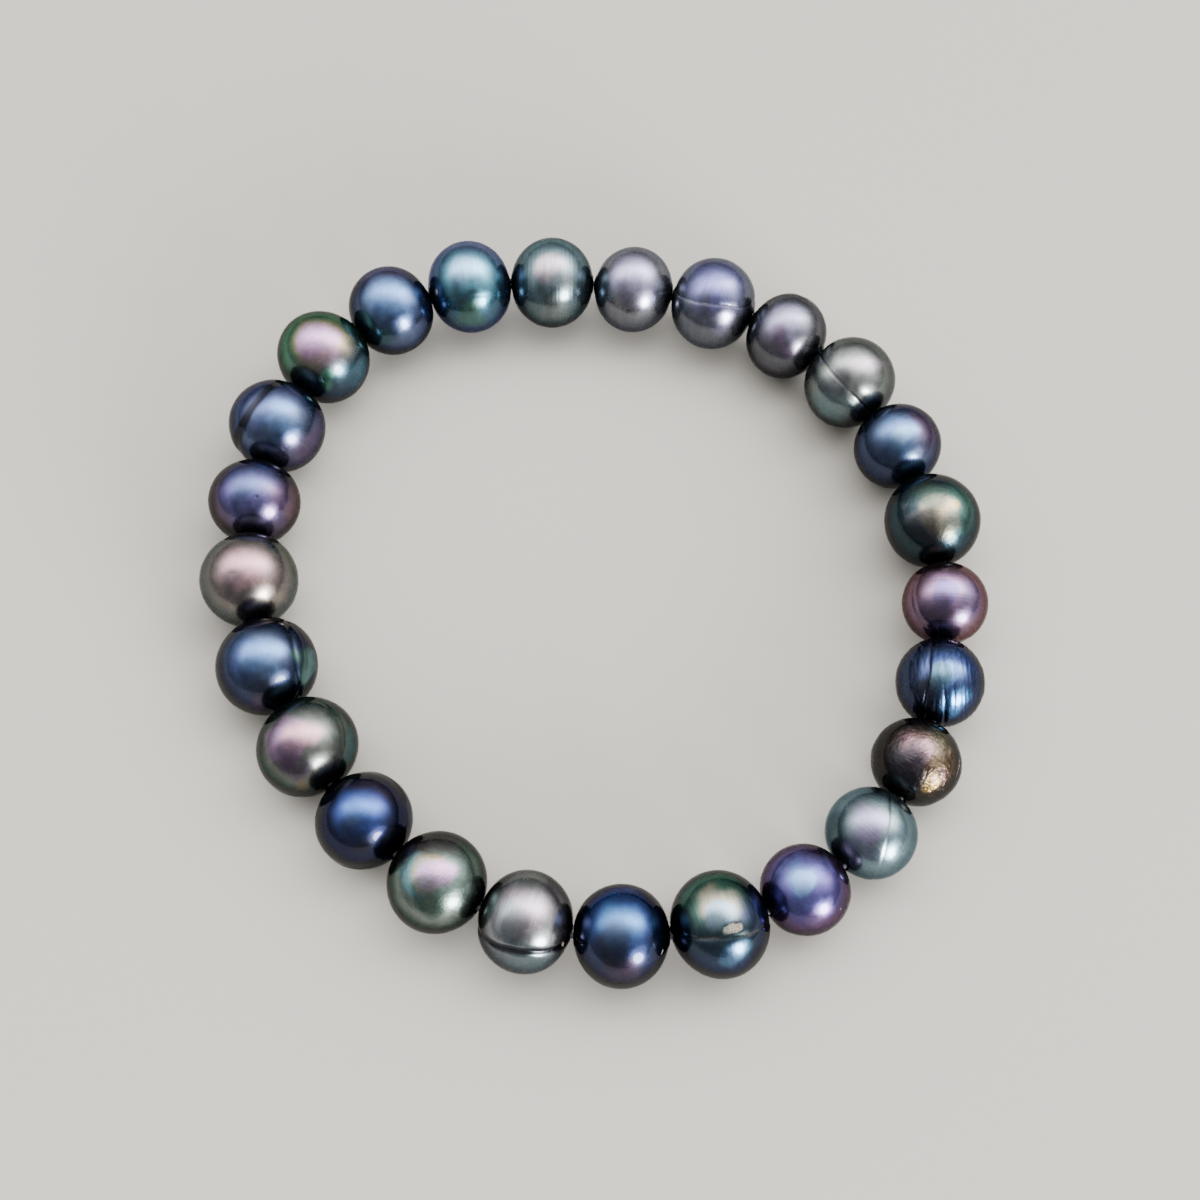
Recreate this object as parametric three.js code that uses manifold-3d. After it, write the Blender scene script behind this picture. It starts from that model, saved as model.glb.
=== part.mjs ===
// A stretch bracelet of twenty-five drilled freshwater pearls on an elastic cord, lying flat in a loop.
// Millimetres, +Z up. The bracelet rests on z = 0 and the middle of its outline is at x = y = 0.

import * as THREE from 'three';
import { mergeVertices } from 'three/addons/utils/BufferGeometryUtils.js';
import Module from 'manifold-3d';

const manifoldLibrary = await Module();
manifoldLibrary.setup();

// Elastic cord and drill holes.
const CORD_DIAMETER = 0.5;
const HOLE_DIAMETER = 1.1;
const PEARL_GAP = 0.1;

// How closely the flattening keeps to the hole's ends. A higher power flattens a smaller patch.
const FLATTENING_POWER = 6;

// Fineness of the solids. A pearl's sides are a multiple of four, so that one side lies on the floor.
const PEARL_SIDES = 16;
const PEARL_BANDS = 9;
const HOLE_SIDES = 10;
const RING_SIDES = 20;
const CORD_SIDES = 8;
const CORD_STEPS_PER_PEARL = 4;

// The pearls, clockwise from the upper left. diameter is across the drill hole and length along it,
// before the two ends are flattened. drilled is the real length from one flattened end to the other.
const PEARLS = [
  { diameter: 8.40, length: 7.75, drilled: 7.50, color: 0x4f6478 },
  { diameter: 8.25, length: 7.65, drilled: 7.55, color: 0x4c5c62 },
  { diameter: 7.90, length: 7.30, drilled: 7.20, color: 0x64616b },
  { diameter: 8.35, length: 7.80, drilled: 7.55, color: 0x605f76 },
  { diameter: 7.90, length: 7.25, drilled: 7.10, color: 0x5b5860 },
  { diameter: 8.40, length: 7.80, drilled: 7.45, color: 0x6b716f },
  { diameter: 7.80, length: 7.30, drilled: 7.30, color: 0x4d5670 },
  { diameter: 8.30, length: 8.20, drilled: 8.20, color: 0x44524e },
  { diameter: 7.35, length: 7.10, drilled: 6.90, color: 0x6c5468 },
  { diameter: 7.50, length: 7.50, drilled: 7.50, color: 0x2f4462 },
  { diameter: 7.45, length: 7.20, drilled: 7.10, color: 0x54483d },
  { diameter: 7.55, length: 7.30, drilled: 7.20, color: 0x66747c },
  { diameter: 7.40, length: 7.15, drilled: 7.00, color: 0x554a7a },
  { diameter: 8.55, length: 7.70, drilled: 7.70, color: 0x3b5a5a },
  { diameter: 8.20, length: 7.65, drilled: 7.55, color: 0x33496e },
  { diameter: 8.20, length: 7.60, drilled: 7.40, color: 0x6f747a },
  { diameter: 8.20, length: 7.85, drilled: 7.85, color: 0x55655b },
  { diameter: 8.10, length: 7.80, drilled: 7.80, color: 0x2b3f78 },
  { diameter: 8.55, length: 7.95, drilled: 7.75, color: 0x665f5e },
  { diameter: 8.60, length: 8.20, drilled: 8.20, color: 0x3a4468 },
  { diameter: 8.35, length: 8.15, drilled: 8.05, color: 0x6b6662 },
  { diameter: 8.00, length: 7.30, drilled: 6.95, color: 0x56537a },
  { diameter: 8.60, length: 8.05, drilled: 7.90, color: 0x4c5674 },
  { diameter: 8.60, length: 7.95, drilled: 7.90, color: 0x4f685c },
  { diameter: 8.15, length: 7.65, drilled: 7.35, color: 0x51608a },
];

// Growth rings that run round a pearl from hole to hole, as the photo shows the deepest of them.
// A ring's plane starts upright along the hole. slant turns it about the upright, tilt then turns it
// about the hole, top towards the outside of the loop, and offset moves it off the pearl's centre.
const RINGS = [
  { pearl: 4, slant: 6, tilt: -46, offset: 0.75, depth: 0.15, width: 0.40 },
  { pearl: 6, slant: -5, tilt: -37, offset: 0.2, depth: 0.25, width: 0.70 },
  { pearl: 10, slant: 1, tilt: -11, offset: -0.8, depth: 0.25, width: 0.45 },
  { pearl: 10, slant: 15, tilt: -2, offset: -0.1, depth: 0.20, width: 0.40 },
  { pearl: 14, slant: 2, tilt: 30, offset: -0.8, depth: 0.15, width: 0.40 },
  { pearl: 16, slant: 6, tilt: 44, offset: 0.35, depth: 0.30, width: 0.60 },
  { pearl: 23, slant: -13, tilt: -6, offset: 0.75, depth: 0.25, width: 0.80 },
];

// The loop's plan: a circle with a few slow waves, each given by how far it moves the pearls out.
const FIRST_PEARL_ANGLE = THREE.MathUtils.degToRad(111.8);
const PLAN_WAVES = [
  { count: 2, cosine: -0.45, sine: -1.50 },
  { count: 3, cosine: 0.00, sine: 0.65 },
  { count: 4, cosine: -0.35, sine: 0.05 },
  { count: 5, cosine: 0.00, sine: -0.15 },
  { count: 6, cosine: 0.10, sine: 0.10 },
];

const UP = new THREE.Vector3(0, 0, 1);
const next = (index) => (index + 1) % PEARLS.length;
const previous = (index) => (index + PEARLS.length - 1) % PEARLS.length;

function planPoint(meanRadius, angle) {
  let radius = meanRadius;
  for (const wave of PLAN_WAVES) {
    radius += wave.cosine * Math.cos(wave.count * angle);
    radius += wave.sine * Math.sin(wave.count * angle);
  }
  return new THREE.Vector3(radius * Math.cos(angle), radius * Math.sin(angle), 0);
}

function pearlCentre(meanRadius, angle, index) {
  return planPoint(meanRadius, angle).setZ(PEARLS[index].diameter / 2);
}

function spacing(index) {
  return (PEARLS[index].drilled + PEARLS[next(index)].drilled) / 2 + PEARL_GAP;
}

// Halves an interval until the value inside it meets the wanted one. measure falls from low to high.
function bisect(low, high, measure) {
  const rounds = 50;
  for (let round = 0; round < rounds; round += 1) {
    const middle = (low + high) / 2;
    if (measure(middle) > 0) {
      low = middle;
    } else {
      high = middle;
    }
  }
  return (low + high) / 2;
}

// Steps once round the loop, each pearl a gap beyond the one before. Returns the centres and the angle
// where a pearl after the last one would sit.
function stepRound(meanRadius) {
  const widestStep = 0.6;
  const centres = [];
  let angle = FIRST_PEARL_ANGLE;
  for (let index = 0; index < PEARLS.length; index += 1) {
    const here = pearlCentre(meanRadius, angle, index);
    centres.push(here);
    const tooFar = (candidate) => {
      const there = pearlCentre(meanRadius, candidate, next(index));
      return here.distanceTo(there) - spacing(index);
    };
    angle = bisect(angle - widestStep, angle, tooFar);
  }
  return { centres, angle };
}

// The loop closes when the step after the last pearl comes back to the first one.
function closedLoop() {
  const smallestRadius = 25;
  const largestRadius = 36;
  const overrun = (meanRadius) => {
    const endAngle = stepRound(meanRadius).angle;
    return (FIRST_PEARL_ANGLE - 2 * Math.PI) - endAngle;
  };
  const meanRadius = bisect(smallestRadius, largestRadius, overrun);
  return stepRound(meanRadius).centres;
}

const centres = closedLoop();

// Each pearl lies along the line between its two neighbours.
const headings = centres.map((centre, index) => {
  const heading = new THREE.Vector3().subVectors(centres[next(index)], centres[previous(index)]);
  return heading.setZ(0).normalize();
});

// Where the cord passes from one pearl to the next: half way between the two hole ends.
const crossings = centres.map((centre, index) => {
  const after = next(index);
  const reach = (PEARLS[index].drilled + PEARL_GAP) / 2;
  const reachAfter = (PEARLS[after].drilled + PEARL_GAP) / 2;
  const holeEnd = headings[index].clone().multiplyScalar(reach).add(centre);
  const holeStart = headings[after].clone().multiplyScalar(-reachAfter).add(centres[after]);
  return holeEnd.add(holeStart).multiplyScalar(0.5);
});

function toSolid(geometry) {
  const bare = geometry.clone();
  bare.deleteAttribute('normal');
  bare.deleteAttribute('uv');
  const merged = mergeVertices(bare, 1e-5);
  const mesh = new manifoldLibrary.Mesh({
    numProp: 3,
    vertProperties: new Float32Array(merged.attributes.position.array),
    triVerts: new Uint32Array(merged.index.array),
  });
  return new manifoldLibrary.Manifold(mesh);
}

function toGeometry(solid) {
  const mesh = solid.getMesh();
  const geometry = new THREE.BufferGeometry();
  geometry.setAttribute('position', new THREE.BufferAttribute(new Float32Array(mesh.vertProperties), 3));
  geometry.setIndex(new THREE.BufferAttribute(new Uint32Array(mesh.triVerts), 1));
  geometry.computeVertexNormals();
  return geometry;
}

// A pearl's body about its own centre, with the hole's line on X and a flat side turned down.
// Its sides touch the real diameter from outside, so the flat side is exactly half a diameter down.
function pearlBody({ diameter, length, drilled }) {
  const sideAngle = Math.PI / PEARL_SIDES;
  const bandAngle = Math.PI / PEARL_BANDS;
  const cornerRadius = diameter / 2 / Math.cos(sideAngle) / Math.cos(bandAngle / 2);
  const profile = [];
  for (let band = 0; band <= PEARL_BANDS; band += 1) {
    const turn = band * bandAngle;
    const onAxis = band === 0 || band === PEARL_BANDS;
    const across = onAxis ? 0 : cornerRadius * Math.sin(turn);
    const flattened = (length - drilled) / 2 * Math.cos(turn) ** FLATTENING_POWER;
    profile.push(new THREE.Vector2(across, -(length / 2 - flattened) * Math.cos(turn)));
  }
  const body = new THREE.LatheGeometry(profile, PEARL_SIDES);
  body.rotateY(sideAngle);
  body.rotateZ(-Math.PI / 2);
  return body;
}

// A thin ring whose three-sided section cuts a V-shaped groove round a pearl, in its own frame.
function ringCutter({ diameter, length }, { slant, tilt, offset, depth, width }) {
  const radius = Math.sqrt((diameter / 2) ** 2 - offset ** 2);
  const bottom = new THREE.Vector2(radius - depth, 0);
  const reach = 0.5;
  const halfOpening = width / 2 * (depth + reach) / depth;
  const section = [
    bottom,
    new THREE.Vector2(radius + reach, -halfOpening),
    new THREE.Vector2(radius + reach, halfOpening),
    bottom,
  ];
  const ring = new THREE.LatheGeometry(section, RING_SIDES);
  ring.translate(0, offset, 0);
  ring.rotateZ(THREE.MathUtils.degToRad(slant));
  ring.rotateX(THREE.MathUtils.degToRad(-tilt));
  ring.scale(length / diameter, 1, 1);
  return ring;
}

// A straight drill from one crossing to the next, a little longer than the pearl.
function holeDrill(start, end) {
  const overshoot = 1.0;
  const direction = new THREE.Vector3().subVectors(end, start);
  const drill = new THREE.CylinderGeometry(
    HOLE_DIAMETER / 2, HOLE_DIAMETER / 2, direction.length() + 2 * overshoot, HOLE_SIDES,
  );
  direction.normalize();
  drill.applyQuaternion(new THREE.Quaternion().setFromUnitVectors(new THREE.Vector3(0, 1, 0), direction));
  const middle = new THREE.Vector3().addVectors(start, end).multiplyScalar(0.5);
  drill.translate(middle.x, middle.y, middle.z);
  return drill;
}

function pearlMesh(index) {
  const pearl = PEARLS[index];
  const turn = Math.atan2(headings[index].y, headings[index].x);
  const toOwnFrame = (point) => point.clone().sub(centres[index]).applyAxisAngle(UP, -turn);
  let solid = toSolid(pearlBody(pearl));
  for (const ring of RINGS.filter((entry) => entry.pearl === index + 1)) {
    solid = solid.subtract(toSolid(ringCutter(pearl, ring)));
  }
  const drill = holeDrill(toOwnFrame(crossings[previous(index)]), toOwnFrame(crossings[index]));
  solid = solid.subtract(toSolid(drill));
  const material = new THREE.MeshStandardMaterial({ color: pearl.color, roughness: 0.25, metalness: 0.6 });
  const mesh = new THREE.Mesh(toGeometry(solid), material);
  mesh.name = `pearl_${String(index + 1).padStart(2, '0')}`;
  mesh.position.copy(centres[index]);
  mesh.rotation.z = turn;
  return mesh;
}

// The cord runs straight through each hole and bends only between the pearls.
function cordMesh() {
  const route = [];
  for (let index = 0; index < PEARLS.length; index += 1) {
    const start = crossings[previous(index)];
    const end = crossings[index];
    for (let step = 0; step < CORD_STEPS_PER_PEARL; step += 1) {
      route.push(new THREE.Vector3().lerpVectors(start, end, step / CORD_STEPS_PER_PEARL));
    }
  }
  const curve = new THREE.CatmullRomCurve3(route, true, 'centripetal');
  const geometry = new THREE.TubeGeometry(curve, route.length, CORD_DIAMETER / 2, CORD_SIDES, true);
  const material = new THREE.MeshStandardMaterial({ color: 0x2c2c30, roughness: 0.5, metalness: 0.0 });
  const mesh = new THREE.Mesh(geometry, material);
  mesh.name = 'elastic_cord';
  return mesh;
}

const bracelet = new THREE.Group();
for (let index = 0; index < PEARLS.length; index += 1) {
  bracelet.add(pearlMesh(index));
}
bracelet.add(cordMesh());

const outline = new THREE.Box3().setFromObject(bracelet, true);
const middle = outline.getCenter(new THREE.Vector3());
bracelet.position.set(-middle.x, -middle.y, 0);

export default bracelet;
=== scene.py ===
# %% [markdown]
# A stretch bracelet of twenty-five dark dyed freshwater pearls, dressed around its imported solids.
# The frame holds one solid for each pearl and one for the cord, in metres, and they stay as they are.
# This lesson gives every pearl a fine nacre skin with its own rings, pits, chips and colours, and
# gives the cord the look of elastic.

# %% Load the frame
import math

import bmesh
import bpy
import numpy as np
from mathutils import Matrix, Vector


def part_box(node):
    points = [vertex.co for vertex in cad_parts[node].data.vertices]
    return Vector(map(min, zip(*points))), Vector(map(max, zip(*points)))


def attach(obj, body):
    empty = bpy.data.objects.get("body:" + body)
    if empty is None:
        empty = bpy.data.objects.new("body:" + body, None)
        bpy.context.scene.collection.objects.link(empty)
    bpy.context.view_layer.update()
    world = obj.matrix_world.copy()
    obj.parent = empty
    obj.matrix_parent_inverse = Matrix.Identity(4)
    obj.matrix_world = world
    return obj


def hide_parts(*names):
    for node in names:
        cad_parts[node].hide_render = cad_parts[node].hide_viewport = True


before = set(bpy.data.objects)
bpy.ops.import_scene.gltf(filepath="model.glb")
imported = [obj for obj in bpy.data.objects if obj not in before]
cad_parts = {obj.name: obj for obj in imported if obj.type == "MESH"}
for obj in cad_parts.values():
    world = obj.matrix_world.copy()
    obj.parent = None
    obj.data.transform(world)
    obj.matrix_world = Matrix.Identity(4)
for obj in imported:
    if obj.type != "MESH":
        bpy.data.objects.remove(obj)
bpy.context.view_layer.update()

MM = 0.001
PEARL_COUNT = 25
NAMES = [f"pearl_{number:02d}" for number in range(1, PEARL_COUNT + 1)]

# %% [markdown]
# The camera comes first, because every judgement is made through it. The photo looks down on the
# bracelet from the front, at a little over 65 degrees. The outlines of the pearls gave the distance
# and the lens, and the aim is the point on the table that the middle of the photo shows.

# %% Camera
CAMERA_ELEVATION = math.radians(65.5)
CAMERA_DISTANCE = 155.6 * MM
CAMERA_AIM = Vector((0.56, 0.21, 0.0)) * MM
LENS_MM = 53.6
SENSOR_MM = 36.0

camera_data = bpy.data.cameras.new("photo_camera")
camera_data.lens = LENS_MM
camera_data.sensor_width = SENSOR_MM
camera_data.clip_start = 0.01
camera = bpy.data.objects.new("photo_camera", camera_data)
bpy.context.scene.collection.objects.link(camera)
TOWARDS_VIEWER = Vector((0, -math.cos(CAMERA_ELEVATION), math.sin(CAMERA_ELEVATION)))
camera.location = CAMERA_AIM + CAMERA_DISTANCE * TOWARDS_VIEWER
camera.rotation_euler = (-TOWARDS_VIEWER).to_track_quat("-Z", "Y").to_euler()
bpy.context.scene.camera = camera
print("camera at mm", [round(v / MM, 1) for v in camera.location])

# %% [markdown]
# A few helpers serve all materials. A material starts from the Principled shader, and every other
# node is added and linked by name, so that a reader can follow the tree in the shader editor.

# %% Material helpers


def new_material(name):
    material = bpy.data.materials.new(name)
    material.use_nodes = True
    tree = material.node_tree
    return material, tree, tree.nodes["Principled BSDF"]


def add_node(tree, kind, values=None, **settings):
    """Add a node, set its properties, and give its input sockets a number, colour or link."""
    node = tree.nodes.new(kind)
    for key, value in settings.items():
        setattr(node, key, value)
    for key, value in (values or {}).items():
        if isinstance(value, bpy.types.NodeSocket):
            tree.links.new(value, node.inputs[key])
        else:
            node.inputs[key].default_value = value
    return node


def number_ramp(tree, value, low, high, low_result=0.0, high_result=1.0):
    """Map a number from one range to another along a smooth S curve."""
    node = add_node(tree, "ShaderNodeMapRange", {
        "Value": value, "From Min": low, "From Max": high, "To Min": low_result, "To Max": high_result,
    }, interpolation_type="SMOOTHSTEP")
    return node.outputs["Result"]


def mix_color(tree, factor, first, second, blend="MIX"):
    node = add_node(tree, "ShaderNodeMix", data_type="RGBA", blend_type=blend)
    for socket, value in ((0, factor), (6, first), (7, second)):
        if isinstance(value, bpy.types.NodeSocket):
            tree.links.new(value, node.inputs[socket])
        else:
            node.inputs[socket].default_value = value
    return node.outputs[2]


def math_node(tree, operation, *values):
    node = add_node(tree, "ShaderNodeMath", dict(enumerate(values)), operation=operation)
    return node.outputs[0]


def scale_vector(tree, vector, factor):
    """Make a vector or colour longer or shorter by a number or link."""
    node = add_node(tree, "ShaderNodeVectorMath", {0: vector, "Scale": factor}, operation="SCALE")
    return node.outputs[0]


print("material helpers ready")

# %% [markdown]
# The floor is one plain pale plane without any pattern, so that it takes no attention from the
# pearls.

# %% Floor
FLOOR_HALF = 0.9
FLOOR_COLOR = (0.285, 0.272, 0.250, 1.0)
FLOOR_ROUGHNESS = 0.85

floor_mesh = bmesh.new()
bmesh.ops.create_grid(floor_mesh, x_segments=1, y_segments=1, size=FLOOR_HALF)
floor_data = bpy.data.meshes.new("floor")
floor_mesh.to_mesh(floor_data)
floor_mesh.free()
floor = bpy.data.objects.new("floor", floor_data)
bpy.context.scene.collection.objects.link(floor)
floor_material, floor_tree, floor_shader = new_material("pale_floor")
floor_shader.inputs["Base Color"].default_value = FLOOR_COLOR
floor_shader.inputs["Roughness"].default_value = FLOOR_ROUGHNESS
floor_data.materials.append(floor_material)
print("floor side in m", 2 * FLOOR_HALF)

# %% [markdown]
# Nacre shows what stands around it, so the light is chosen by what the pearls in the photo mirror:
# a glow that is brightest overhead and a little behind, stays bright far down to the left and right,
# fades sooner to the front and back, and ends at a dim horizon. The room itself makes this glow, with
# a world shader: a curve over the height of the direction, times a curve over its depth. The same
# curve to the fourth power, added on top, gives the glow its bright heart.

# %% Room that fades from overhead to the horizon
ROOM_COLOR = (1.0, 0.985, 0.965, 1.0)
ROOM_WIDE_GLOW = 3.6
ROOM_HEART = 7.0
ROOM_HEART_POWER = 4.0
ROOM_DIMMEST = 0.45
ROOM_FULL_HEIGHT = 0.80
ROOM_BEHIND = 0.32
ROOM_DEPTH_FALL = -3.0
ROOM_RIGHT_GAIN = 0.22


def fading_room():
    world = bpy.data.worlds.new("soft_room")
    world.use_nodes = True
    tree = world.node_tree
    background = tree.nodes["Background"]
    background.inputs["Color"].default_value = ROOM_COLOR
    direction = add_node(tree, "ShaderNodeTexCoord").outputs["Generated"]
    parts = add_node(tree, "ShaderNodeSeparateXYZ", {0: direction}).outputs
    height = number_ramp(tree, parts["Z"], 0.0, ROOM_FULL_HEIGHT)
    off_centre = math_node(tree, "SUBTRACT", parts["Y"], ROOM_BEHIND)
    squared = math_node(tree, "MULTIPLY", off_centre, off_centre)
    depth = math_node(tree, "EXPONENT", math_node(tree, "MULTIPLY", squared, ROOM_DEPTH_FALL))
    sideways = math_node(tree, "MULTIPLY_ADD", parts["X"], ROOM_RIGHT_GAIN, 1.0)
    share = math_node(tree, "MULTIPLY", math_node(tree, "MULTIPLY", height, depth), sideways)
    wide = math_node(tree, "MULTIPLY_ADD", share, ROOM_WIDE_GLOW, ROOM_DIMMEST)
    heart = math_node(tree, "POWER", share, ROOM_HEART_POWER)
    strength = math_node(tree, "MULTIPLY_ADD", heart, ROOM_HEART, wide)
    tree.links.new(strength, background.inputs["Strength"])
    return world


bpy.context.scene.world = fading_room()
print("room brightness overhead", ROOM_WIDE_GLOW + ROOM_HEART + ROOM_DIMMEST)

# %% [markdown]
# Two lamps stand low on the right, and each is an ellipse of light aimed at the bracelet. The small
# strong one makes the white spot on every pearl, and the wide weak one round it softens the spot's
# edge. Each is given by its direction, distance and size, as the spots in the photo asked for.

# %% Lamps


def soft_lamp(name, azimuth, elevation, distance, width, depth, power, color):
    """Angles in degrees, sizes in metres, power in watts."""
    data = bpy.data.lights.new(name, "AREA")
    data.shape = "ELLIPSE"
    data.size = width
    data.size_y = depth
    data.energy = power
    data.color = color
    light = bpy.data.objects.new(name, data)
    light.visible_camera = False
    bpy.context.scene.collection.objects.link(light)
    a = math.radians(azimuth)
    e = math.radians(elevation)
    direction = Vector((math.cos(e) * math.cos(a), math.cos(e) * math.sin(a), math.sin(e)))
    light.location = distance * direction
    light.rotation_euler = (-direction).to_track_quat("-Z", "Y").to_euler()
    print(name, "at m", [round(v, 2) for v in light.location])
    return light


soft_lamp("side_lamp", azimuth=-53, elevation=13, distance=1.0, width=0.38, depth=0.42, power=30.0,
          color=(1.0, 0.99, 0.98))
soft_lamp("side_lamp_halo", azimuth=-50, elevation=18, distance=1.05, width=0.95, depth=0.66, power=6.0,
          color=(1.0, 0.99, 0.98))

# %% [markdown]
# The frame says where each pearl lies. The box of a solid gives its middle and its diameter, the two
# neighbours give the line of its drill hole, and the solid's own points give its length along it.
# A pearl's own axes are X along the hole, clockwise round the loop, Y away from the loop, and Z up.

# %% Where the pearls lie
HOLE_LOSS_MM = 0.07
UP = Vector((0, 0, 1))


def read_pearls():
    centres = []
    for name in NAMES:
        low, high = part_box(name)
        centres.append((low + high) / 2)
    pearls = []
    for index, name in enumerate(NAMES):
        low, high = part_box(name)
        heading = centres[(index + 1) % PEARL_COUNT] - centres[index - 1]
        heading.z = 0
        heading.normalize()
        outward = UP.cross(heading)
        along = [(v.co - centres[index]).dot(heading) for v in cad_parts[name].data.vertices]
        turn = Matrix((heading, outward, UP)).transposed().to_4x4()
        pearls.append({
            "name": name,
            "centre": centres[index],
            "radius": (high.z - low.z) / 2 / MM,
            "reach": (max(along) - min(along)) / 2 / MM + HOLE_LOSS_MM,
            "place": Matrix.Translation(centres[index]) @ turn,
            "turn": math.atan2(heading.y, heading.x),
            "sight": (camera.location - centres[index]).normalized(),
        })
    return pearls


PEARLS = read_pearls()
for pearl in PEARLS[:3]:
    print(pearl["name"], "diameter mm", round(2 * pearl["radius"], 2),
          "length mm", round(2 * pearl["reach"], 2))

# %% [markdown]
# The cord bends only between two pearls, at a crossing half way between their hole ends. Neighbours
# of different size lie at different heights, so a crossing is a little off each pearl's own axis,
# and the holes lean towards it as a cord would pull them.

# %% Crossings of the cord


def hole_end(pearl, side):
    return pearl["place"] @ Vector((side * pearl["reach"] * MM, 0, 0))


def read_crossings():
    points = []
    for index, pearl in enumerate(PEARLS):
        after = PEARLS[(index + 1) % PEARL_COUNT]
        points.append((hole_end(pearl, 1) + hole_end(after, -1)) / 2)
    return points


CROSSINGS = read_crossings()
for index, pearl in enumerate(PEARLS):
    to_own = pearl["place"].inverted()
    pearl["hole_start"] = (to_own @ CROSSINGS[index - 1]) / MM
    pearl["hole_finish"] = (to_own @ CROSSINGS[index]) / MM
print("crossings:", len(CROSSINGS))

# %% [markdown]
# Every pearl is charted, clockwise from the upper left of the loop. Growth rings are dents
# that run round a pearl from hole to hole. A ring lies in a plane: slant turns it about the upright,
# tilt turns it about the hole, and offset moves it off the centre, in radii. Its section is a narrow
# crease in a broad valley, each given as depth and width, and a step where the nacre on one side of
# the ring stands lower, all in millimetres. Shade says how dark the ring is and pale how worn. Ribs
# are fine rings side by side, with their depth in millimetres. Wrinkles multiply the usual ripple of
# a pearl's shape, and foil is how strongly a wrinkled skin breaks up the light.

# %% Chart of the growth rings


def ring(slant, tilt, offset, crease=(0.0, 0.1), valley=(0.0, 0.4), step=0.0, shade=0.0, pale=0.0):
    return dict(slant=slant, tilt=tilt, offset=offset, crease=crease, valley=valley,
                step=step, shade=shade, pale=pale)


# A ring's shade is painted shade: it darkens the colour along the ring's line.
RINGS = {
    1: [ring(-4, -28, -0.31, crease=(0.02, 0.10), shade=0.3)],
    2: [ring(-75, 62, -0.29, crease=(0.01, 0.12), shade=0.15)],
    4: [ring(6, -46, 0.18, crease=(0.06, 0.07), valley=(0.05, 0.35), step=0.03, shade=0.5, pale=0.35)],
    5: [ring(-16, 44, 0.05, crease=(0.02, 0.12), step=0.07, shade=0.35)],
    6: [ring(-5, -37, 0.05, crease=(0.08, 0.08), valley=(0.15, 0.65), shade=0.55)],
    9: [ring(-5, -60, 0.08, crease=(0.02, 0.16), valley=(0.03, 0.4), shade=0.4)],
    10: [ring(1, -11, -0.21, crease=(0.14, 0.11), valley=(0.07, 0.40), shade=0.9),
         ring(15, -2, -0.02, crease=(0.10, 0.09), valley=(0.06, 0.35), shade=0.8),
         ring(9, -6, -0.12, crease=(0.04, 0.12), shade=0.3),
         ring(16, 2, 0.10, crease=(0.03, 0.12), shade=0.3),
         ring(1, -43, 0.02, crease=(0.03, 0.14), shade=0.3)],
    12: [ring(32, 6, 0.16, crease=(0.04, 0.09), valley=(0.03, 0.4), step=0.04, shade=0.4),
         ring(36, -33, -0.29, crease=(0.02, 0.12), step=-0.03, shade=0.4)],
    13: [ring(-2, -64, 0.42, crease=(0.01, 0.14), step=0.03, shade=0.2)],
    14: [ring(-7.5, 30, -0.025, crease=(0.05, 0.12), valley=(0.05, 0.40), step=-0.03,
              shade=0.7, pale=0.33)],
    15: [ring(-10, -67, 0.31, crease=(0.01, 0.16), step=0.02, shade=0.3)],
    16: [ring(6, 44, 0.08, crease=(0.12, 0.23), valley=(0.05, 0.55), shade=1.4)],
    18: [ring(-5, -72, 0.10, crease=(0.02, 0.12), step=0.07, shade=0.5)],
    19: [ring(1, -63, 0.26, crease=(0.02, 0.16), step=0.05, shade=0.4)],
    20: [ring(-7, -12, -0.49, crease=(0.04, 0.16), valley=(0.04, 0.5), step=0.03, shade=0.5),
         ring(4, -56, 0.0, crease=(0.04, 0.10), shade=0.6)],
    22: [ring(3, -5, -0.65, crease=(0.02, 0.14), step=-0.03, shade=0.3)],
    23: [ring(-13, -6, 0.33, crease=(0.05, 0.33), valley=(0.05, 0.60), shade=1.9)],
}
RIBS = {2: dict(depth=0.003), 10: dict(depth=0.009, like=RINGS[10][1]), 14: dict(depth=0.0015)}
WRINKLES = {8: 1.2, 11: 3.5, 17: 1.0}
FOIL = {8: 0.07, 11: 0.25, 17: 0.05}
print("ringed pearls:", len(RINGS))
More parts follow.
